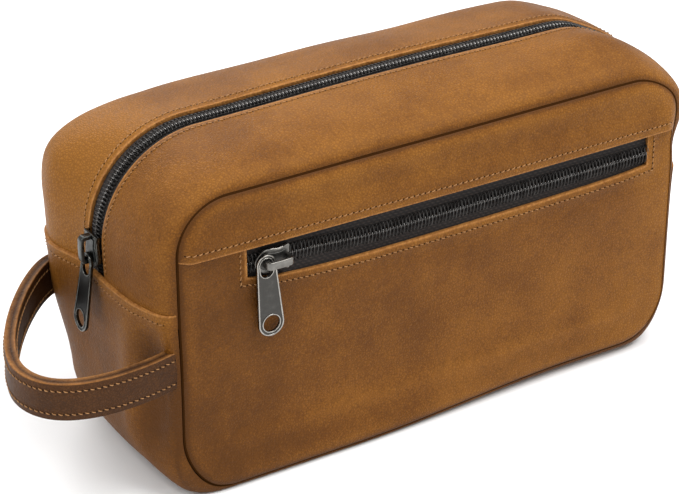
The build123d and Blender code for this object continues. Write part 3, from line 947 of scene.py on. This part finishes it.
# === zips =========================================================================
def coil(name, line, out, across, phase, half_width):
    """One half of a coil chain: a flattened helix along line, out of the tape and across it."""
    total = along(line)[-1]
    per_turn = 12
    turns = int(total / COIL_PITCH) - 1
    step = np.arange(turns * per_turn + 1)
    angle = 2 * np.pi * step / per_turn
    stations = (step / per_turn + 0.5 + phase) * COIL_PITCH
    centre = resample(line, stations)
    normal = unit(np.stack([np.interp(stations, along(line), out[:, k]) for k in range(3)], -1))
    side = unit(np.stack([np.interp(stations, along(line), across[:, k]) for k in range(3)], -1))
    half = (half_width + COIL_MESH) / 2
    place = half - COIL_MESH + half * np.cos(angle)
    height = COIL_HEIGHT * np.sin(angle)
    head = np.clip(-np.cos(angle), 0, 1) ** 6
    radius = COIL_WIRE + COIL_HEAD * head
    middle = centre + side * place[:, None] + normal * height[:, None]
    ahead = unit(np.gradient(middle, axis=0))
    first = unit(np.cross(ahead, normal + side * 0.01))
    second = unit(np.cross(first, ahead))
    verts, faces = tube_mesh(middle, radius, 6, first, second)
    # painted highlight on the loops' heads in the middle of the chain, painted shade on the rest of each
    # turn
    recess = np.repeat(0.72 - 1.25 * head, 6)
    obj = new_object(name, verts, faces, {"recess": recess})
    shade(obj, COIL, 80)
    return obj


def main_zip():
    x, z = strip_path(1.0, LEATHER + 0.2)
    middle = slump(np.stack([x, np.zeros_like(x), z], -1))
    ahead = unit(np.gradient(middle, axis=0))
    out = unit(np.cross(ahead, np.tile([0.0, 1.0, 0.0], (len(x), 1))))
    if out[len(x) // 2, 2] < 0:
        out = -out
    for side, sign in (("front", -1), ("back", 1)):
        rows = np.array([0.2, 2, 4, 5, 6, 8, 10, 12]) * sign
        points = np.array([middle + np.array([0, r, 0]) + out * 0.12 * math.sin(r) for r in rows])
        tape = sheet_of_leather(f"main_tape_{side}", points, TAPE, thickness=TAPE_CLOTH, bevel=0)
        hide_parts(f"main_zip_tape_{side}")
        on_mouth(tape)
        above = middle[:, 2] > BASE_EDGE - 4
        across = np.tile([0.0, float(sign), 0.0], (len(x), 1))
        line = middle + out * COIL_RISE
        chain = coil(f"main_coil_{side}", line[above], out[above], across[above],
                     0.0 if sign < 0 else 0.5, TIGHT_HALF_WIDTH)
        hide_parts(f"main_zip_coil_{side}")
        on_mouth(chain)


def pocket_zip():
    low, high = cad("pocket_zip_tape_upper")[0], cad("pocket_zip_tape_upper")[1]
    x = np.linspace(low[0], high[0], 100)
    tail = cad("pocket_slider_body")[1][0]
    z = POCKET_ZIP_Z - POCKET_SAG * smooth((x - tail) / 45)
    middle = np.stack([x, np.full_like(x, POCKET_TAPE_Y - 0.5), z], -1)
    out = np.tile([0.0, -1.0, 0.0], (len(x), 1))
    for name, sign in (("upper", 1), ("lower", -1)):
        rows = np.array([0.2, 2, 4, 5, 6, 8, 10, 11.6]) * sign
        points = np.array([middle + np.array([0, 0.1 * math.sin(r), r]) for r in rows])
        tape = sheet_of_leather(f"pocket_tape_{name}", points, TAPE, thickness=TAPE_CLOTH, bevel=0,
                                outward=(0, -1, 0))
        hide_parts(f"pocket_zip_tape_{name}")
        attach(tape, "base")
        inside = (x > WINDOW_LEFT - 3) & (x < WINDOW_RIGHT + 3)
        across = np.tile([0.0, 0.0, float(sign)], (len(x), 1))
        line = middle + out * COIL_RISE
        chain = coil(f"pocket_coil_{name}", line[inside], out[inside], across[inside],
                     0.0 if sign < 0 else 0.5, COIL_HALF_WIDTH)
        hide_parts(f"pocket_zip_coil_{name}")
        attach(chain, "base")


# === sliders and pullers ==========================================================
def outline_solid(name, outlines, low, high, bevel, material, recess=0.0):
    """A plate with rounded edges from a closed outline and any holes, between two heights."""
    curve = bpy.data.curves.new(name, "CURVE")
    curve.dimensions = "2D"
    curve.fill_mode = "BOTH"
    for outline in outlines:
        spline = curve.splines.new("POLY")
        spline.points.add(len(outline) - 1)
        for point, (px, py) in zip(spline.points, outline):
            point.co = (px, py, 0, 1)
        spline.use_cyclic_u = True
    curve.extrude = (high - low) / 2 - bevel
    curve.bevel_depth = bevel
    curve.bevel_resolution = 2
    curve.offset = -bevel
    holder = bpy.data.objects.new(name + "_outline", curve)
    bpy.context.scene.collection.objects.link(holder)
    graph = bpy.context.evaluated_depsgraph_get()
    mesh = bpy.data.meshes.new_from_object(holder.evaluated_get(graph))
    bpy.data.objects.remove(holder)
    bpy.data.curves.remove(curve)
    mesh.transform(Matrix.Translation((0, 0, (high + low) / 2)))
    layer = mesh.attributes.new("recess", "FLOAT", "POINT")
    layer.data.foreach_set("value", np.full(len(mesh.vertices), recess, np.float32))
    obj = bpy.data.objects.new(name, mesh)
    bpy.context.scene.collection.objects.link(obj)
    return shade(obj, material, 35)


def circle_points(cx, cy, radius, start=0, end=360, count=32):
    turn = np.radians(np.linspace(start, end, count, endpoint=end - start < 360))
    return [(cx + radius * math.cos(a), cy + radius * math.sin(a)) for a in turn]


def join(name, objects):
    """Joins meshes that already stand in place."""
    with bpy.context.temp_override(active_object=objects[0], object=objects[0],
                                   selected_objects=objects, selected_editable_objects=objects):
        bpy.ops.object.join()
    objects[0].name = name
    objects[0].data.name = name
    return objects[0]


def stand(obj, origin, x_dir, z_dir):
    """Moves a piece from the slider's own axes, in millimetres, to its place on the bag."""
    x_axis, z_axis = Vector(x_dir), Vector(z_dir)
    y_axis = z_axis.cross(x_axis)
    turn = Matrix((x_axis, y_axis, z_axis)).transposed().to_4x4()
    obj.data.transform(Matrix.Translation(Vector(origin) * MM) @ turn @ Matrix.Scale(MM, 4))
    obj.data.update()
    return obj


EYE_RADIUS = mount("main_puller_eye")["dims"]["r_mm"]
SLIDER_TOP = 3.7         # heights over the tape
SLIDER_PLATE = 1.3
SLIDER_UNDER = (-2.7, -1.4)
POST_X = 5.9             # the post that joins the slider's two plates
CROWN_HALF = 5.9
CROWN_SHIFT = 1.5
CROWN_RISE = 4.6
CROWN_WIDTH = 3.2
CROWN_LEG = 1.6
CROWN_BEND = 1.9         # radius of the crown's outer corners
CROWN_HOLLOW = 0.8       # and of its inner ones
SLOT_HALF = 2.8          # half the width of the puller's slot
SLOT_LENGTH = 8.2
SLOT_WALL = 1.5          # metal over the slot
PULLER_LENGTH = 36.0
PULLER_HEAD = 4.1        # radii of the puller's ends
PULLER_FOOT = 5.5
PULLER_THICKNESS = 1.4


def slider_outline():
    """Outline of the slider's plate: a flared tail, a waist, shoulders and a narrow nose."""
    upper = [(-7.5, 4.5), (-7.35, 5.15), (-6.4, 5.1), (-5.0, 4.55), (-3.2, 4.2), (-1.4, 4.3),
             (0.4, 4.75), (2.2, 5.15), (3.6, 5.0), (5.0, 4.1), (6.3, 2.8), (7.2, 1.6), (7.5, 0.6)]
    return upper + [(x, -y) for x, y in upper[::-1]]


def slider_body(name, material):
    top = outline_solid("plate", [slider_outline()], SLIDER_TOP - SLIDER_PLATE, SLIDER_TOP, 0.35,
                        material, recess=0.6)
    cap_points = [(x * 0.84, y * 0.70) for x, y in slider_outline()]
    cap = outline_solid("cap", [cap_points], SLIDER_TOP - 0.4, SLIDER_TOP + 0.3, 0.28,
                        material, recess=1.0)
    bottom = outline_solid("under", [slider_outline()], *SLIDER_UNDER, 0.3, material)
    post = outline_solid("post", [circle_points(POST_X, 0, 1.0, count=16)], -2.0, SLIDER_TOP - 0.5,
                         0.1, material)
    rims = []
    for sign in (-1, 1):
        rim = [(-7.3, sign * 4.2), (-7.3, sign * 5.0), (-3.2, sign * 4.35), (2.2, sign * 5.1),
               (4.2, sign * 4.6), (4.0, sign * 4.0), (-3.2, sign * 3.6)]
        rims.append(outline_solid("rim", [rim[::sign]], 1.4, SLIDER_TOP - 0.4, 0.25, material))
    return join(name, [top, cap, bottom, post, *rims])


def crown(name, material):
    """The flat arch that holds the puller."""
    outer, inner = CROWN_HALF, CROWN_HALF - CROWN_LEG
    bend, hollow = CROWN_BEND, CROWN_HOLLOW
    spring, under = CROWN_RISE - bend, CROWN_RISE - bend - 0.3
    profile = [(-outer, 0), (-outer, spring)]
    profile += circle_points(-outer + bend, spring, bend, 180, 90, 7)[1:]
    profile += [(0.0, CROWN_RISE + 0.15)]
    profile += circle_points(outer - bend, spring, bend, 90, 0, 7)
    profile += [(outer, 0), (inner, 0), (inner, under)]
    profile += circle_points(inner - hollow, under, hollow, 0, 90, 4)[1:]
    profile += circle_points(-inner + hollow, under, hollow, 90, 180, 4)
    profile += [(-inner, 0)]
    arch = outline_solid(name, [profile], -CROWN_WIDTH / 2, CROWN_WIDTH / 2, 0.32, material, recess=0.5)
    arch.data.transform(Matrix.Rotation(math.radians(90), 4, "X"))
    arch.data.transform(Matrix.Translation((-CROWN_SHIFT, 0, SLIDER_TOP)))
    return arch


def hull_outline(top_y, top_radius, foot_y, foot_radius):
    """Outline of a tab that widens from its head to its foot."""
    lean = math.degrees(math.asin((foot_radius - top_radius) / (top_y - foot_y)))
    head = circle_points(0, top_y, top_radius, -lean, 180 + lean, 20)
    foot = circle_points(0, foot_y, foot_radius, 180 + lean, 360 - lean, 20)
    return head + foot


def puller(name, material):
    """Stamped pull tab, hanging in -Y from its slot's top edge: a thin face inside a raised rim."""
    def slot_outline(radius):
        return (circle_points(0, -SLOT_HALF, radius, 0, 180, 14)
                + circle_points(0, -SLOT_LENGTH + SLOT_HALF, radius, 180, 360, 14))

    top_y, foot_y = SLOT_WALL - PULLER_HEAD, SLOT_WALL - PULLER_LENGTH + PULLER_FOOT
    slot, slot_rim = slot_outline(SLOT_HALF), slot_outline(SLOT_HALF + 0.45)
    eye = circle_points(0, foot_y, EYE_RADIUS, count=36)
    eye_rim = circle_points(0, foot_y, EYE_RADIUS + 0.5, count=36)
    full = hull_outline(top_y, PULLER_HEAD, foot_y, PULLER_FOOT)
    inner = hull_outline(top_y, PULLER_HEAD - 0.6, foot_y, PULLER_FOOT - 0.65)
    high = PULLER_THICKNESS / 2
    face = outline_solid("face", [full, slot, eye], 0.3 - high, high - 0.3, 0.05, material, recess=1.0)
    rim = outline_solid("rim", [full, inner], -high, high, 0.24, material)
    slot_ring = outline_solid("slot_rim", [slot_rim, slot], -high, high, 0.2, material)
    eye_ring = outline_solid("eye_rim", [eye_rim, eye], -high, high, 0.2, material)
    return join(name, [face, rim, slot_ring, eye_ring])


def hanging(joint, mount_name, drop):
    """Place of a puller: its slot's top edge, its own X and Z, from its joint and its eye.
    drop is the way from the joint down to the middle of the slot's round end."""
    eye = mount(mount_name)
    face = np.array(eye["axis"], float)
    plumb = unit(np.array([0.0, 0.0, -1.0]) + face[2] * face)
    middle = joint_point(joint) + plumb * drop
    down = unit(np.array(eye["pos_m"]) / MM - middle)
    return middle - down * SLOT_HALF, tuple(np.cross(-down, face)), tuple(face)


def sliders():
    slider_z = sum(cad("main_slider_body")[k][2] for k in (0, 1)) / 2
    pocket_x = sum(cad("pocket_slider_body")[k][0] for k in (0, 1)) / 2
    main_place = ((MAIN_TAPE_X, 0, slider_z), (0, 0, -1), (-1, 0, 0))
    pocket_place = ((pocket_x, POCKET_TAPE_Y, POCKET_ZIP_Z), (-1, 0, 0), (0, -1, 0))
    main_hang = hanging("main_puller_flip", "main_puller_eye", SLOT_HALF + 0.75)
    pocket_hang = hanging("pocket_puller_swing", "pocket_puller_eye", SLOT_HALF - 2.6)
    for prefix, metal_kind, place, hang in (("main", BLACK_NICKEL, main_place, main_hang),
                                            ("pocket", OLD_NICKEL, pocket_place, pocket_hang)):
        pieces = ((slider_body(f"{prefix}_slider_casting", metal_kind), place, "slider_body", "slider"),
                  (crown(f"{prefix}_slider_bail", metal_kind), place, "slider_crown", "slider"),
                  (puller(f"{prefix}_pull_tab", metal_kind), hang, "puller", "puller"))
        for piece, (origin, x_dir, z_dir), node, body in pieces:
            stand(piece, origin, x_dir, z_dir)
            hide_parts(f"{prefix}_{node}")
            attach(piece, f"{prefix}_{body}")


# === handle =======================================================================
STRAP_ROUTE = [(-110.0, -40.4), (-117.0, -42.2), (-126.0, -44.9), (-145.0, -46.4), (-160.0, -43.2),
               (-169.8, -35.4), (-173.4, -22.0), (-169.4, -8.0), (-162.5, 6.0), (-153.0, 20.0),
               (-142.0, 32.5), (-132.5, 40.6), (-125.5, 43.4), (-119.0, 41.0), (-114.0, 38.0)]


def smooth_route(points, count):
    """A smooth line near given points."""
    curve = bpy.data.curves.new("route", "CURVE")
    curve.dimensions = "3D"
    curve.resolution_u = 16
    spline = curve.splines.new("NURBS")
    spline.points.add(len(points) - 1)
    for point, place in zip(spline.points, points):
        point.co = (*place, 0, 1)
    spline.order_u = 4
    spline.use_endpoint_u = True
    holder = bpy.data.objects.new("route", curve)
    mesh = bpy.data.meshes.new_from_object(holder)
    line = np.array([v.co for v in mesh.vertices])
    bpy.data.objects.remove(holder)
    bpy.data.curves.remove(curve)
    bpy.data.meshes.remove(mesh)
    return resample(line, np.linspace(0, along(line)[-1], count))


def strap_section(thick, height):
    """Rounded section of one strap layer, with how far each point is cut edge.
    Across is 0 where the two layers meet."""
    corner = 0.55
    outline, cut = [], []
    half = height / 2
    # up the outer face, over its rounded edge, down the joint and round to the start
    for side, base, angles, raw in ((1, thick, (30, 60), 0.75), (-1, 0.0, (210, 240), 0.1)):
        for level in np.linspace(-half + corner, half - corner, 9) * side:
            swell = 0.25 * (1 - (level / half) ** 2) if side > 0 else 0.0
            outline.append((base + swell, level))
            cut.append(bump(abs(level), half, 0.7) * 0.85)
        for angle in np.radians(angles):
            x = base - side * corner + corner * math.cos(angle)
            outline.append((x, side * (half - corner + corner * abs(math.sin(angle)))))
            cut.append(raw)
    return np.array(outline), np.array(cut)


def handle():
    line = smooth_route(STRAP_ROUTE, 150)
    ahead = unit(np.gradient(line, axis=0))
    outwards = np.stack([ahead[:, 1], -ahead[:, 0], np.zeros(len(line))], -1)
    if outwards[len(line) // 2, 0] > 0:
        outwards = -outwards
    travelled = along(line) / along(line)[-1]
    height = STRAP_HIGH - STRAP_LOW
    middle_z = (STRAP_LOW + STRAP_HIGH) / 2
    line[:, 2] = middle_z + STRAP_RISE * smooth((travelled - 0.45) / 0.5)
    up = np.tile([0.0, 0.0, 1.0], (len(line), 1))
    outline, cut = strap_section(STRAP_LEATHER, height)
    for name, sign in (("outer", 1), ("inner", -1)):
        verts = (line[:, None] + sign * outwards[:, None] * outline[None, :, :1]
                 + up[:, None] * outline[None, :, 1:])
        count, ring = verts.shape[:2]
        edge = np.tile(cut, (count, 1))
        # the inner layer, facing the bag, is painted darker as shade
        painted_light_and_tone = np.full((count, ring), -0.9 if sign < 0 else 0.05)
        strap = new_object(f"handle_{name}_leather", verts.reshape(-1, 3),
                           ring_faces(count, ring, sign < 0),
                           {"edge": edge, "painted_light_and_tone": painted_light_and_tone})
        shade(strap, STRAP_TAN, 50)
        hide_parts(f"handle_{name}_strap")
        on_handle(strap)
        for row, level in (("upper", height / 2 - STRAP_ROW), ("lower", -height / 2 + STRAP_ROW)):
            reach = sign * (STRAP_LEATHER + 0.2)
            stitches = line + outwards * reach + up * level
            beside = stitches + up * 0.5
            free = stitches[:, 0] < -116.5
            on_handle(stitch_row(f"handle_{name}_stitches_{row}", stitches[free], beside[free]))


def on_handle(obj):
    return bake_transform(obj)


# === studio =======================================================================
def studio():
    wide = 4000
    floor = new_object("floor", [(-wide, -wide, 0), (wide, -wide, 0), (wide, 6000, 0), (-wide, 6000, 0)],
                       [(0, 1, 2, 3)])
    paper = Nodes("white_paper")
    shade(floor, paper.finish((0.86, 0.86, 0.86), 0.8, specular=0.1))
    world = bpy.data.worlds.new("studio")
    bpy.context.scene.world = world
    world.use_nodes = True
    back = world.node_tree.nodes["Background"]
    back.inputs["Color"].default_value = (1, 1, 1, 1)
    back.inputs["Strength"].default_value = 0.75
    for name, place, aim, size, power in (
            ("key", (0.55, -0.55, 1.5), (0, 0, 0.05), 1.0, 26),
            ("fill", (-1.3, 0.1, 1.5), (0, 0, 0.06), 1.2, 17),
            ("rim", (0.2, 1.4, 1.1), (0, 0, 0.08), 1.0, 12)):
        light = bpy.data.lights.new(name, "AREA")
        light.size = size
        light.energy = power
        lamp = bpy.data.objects.new(name, light)
        lamp.location = place
        lamp.rotation_euler = (Vector(aim) - Vector(place)).to_track_quat("-Z", "Y").to_euler()
        bpy.context.scene.collection.objects.link(lamp)
    scene = bpy.context.scene
    scene.view_settings.view_transform = "Standard"


def camera():
    """The view from the front left, a little above the bag."""
    data = bpy.data.cameras.new("camera")
    data.lens = 135.0
    data.sensor_width = 36.0
    cam = bpy.data.objects.new("camera", data)
    bpy.context.scene.collection.objects.link(cam)
    right = Vector((0.8582, -0.5133, -0.0008))
    down = Vector((-0.2529, -0.4215, -0.8709))
    forward = Vector((0.4467, 0.7476, -0.4915))
    turn = Matrix((right, -down, -forward)).transposed().to_4x4()
    cam.matrix_world = Matrix.Translation(Vector((-0.4845, -0.7806, 0.5765))) @ turn
    bpy.context.scene.camera = cam


camera()
studio()
top_strips()
base_gusset()
front_panel()
front_yoke()
back_panel()
seam_cords()
linings()
main_zip()
pocket_zip()
sliders()
handle()
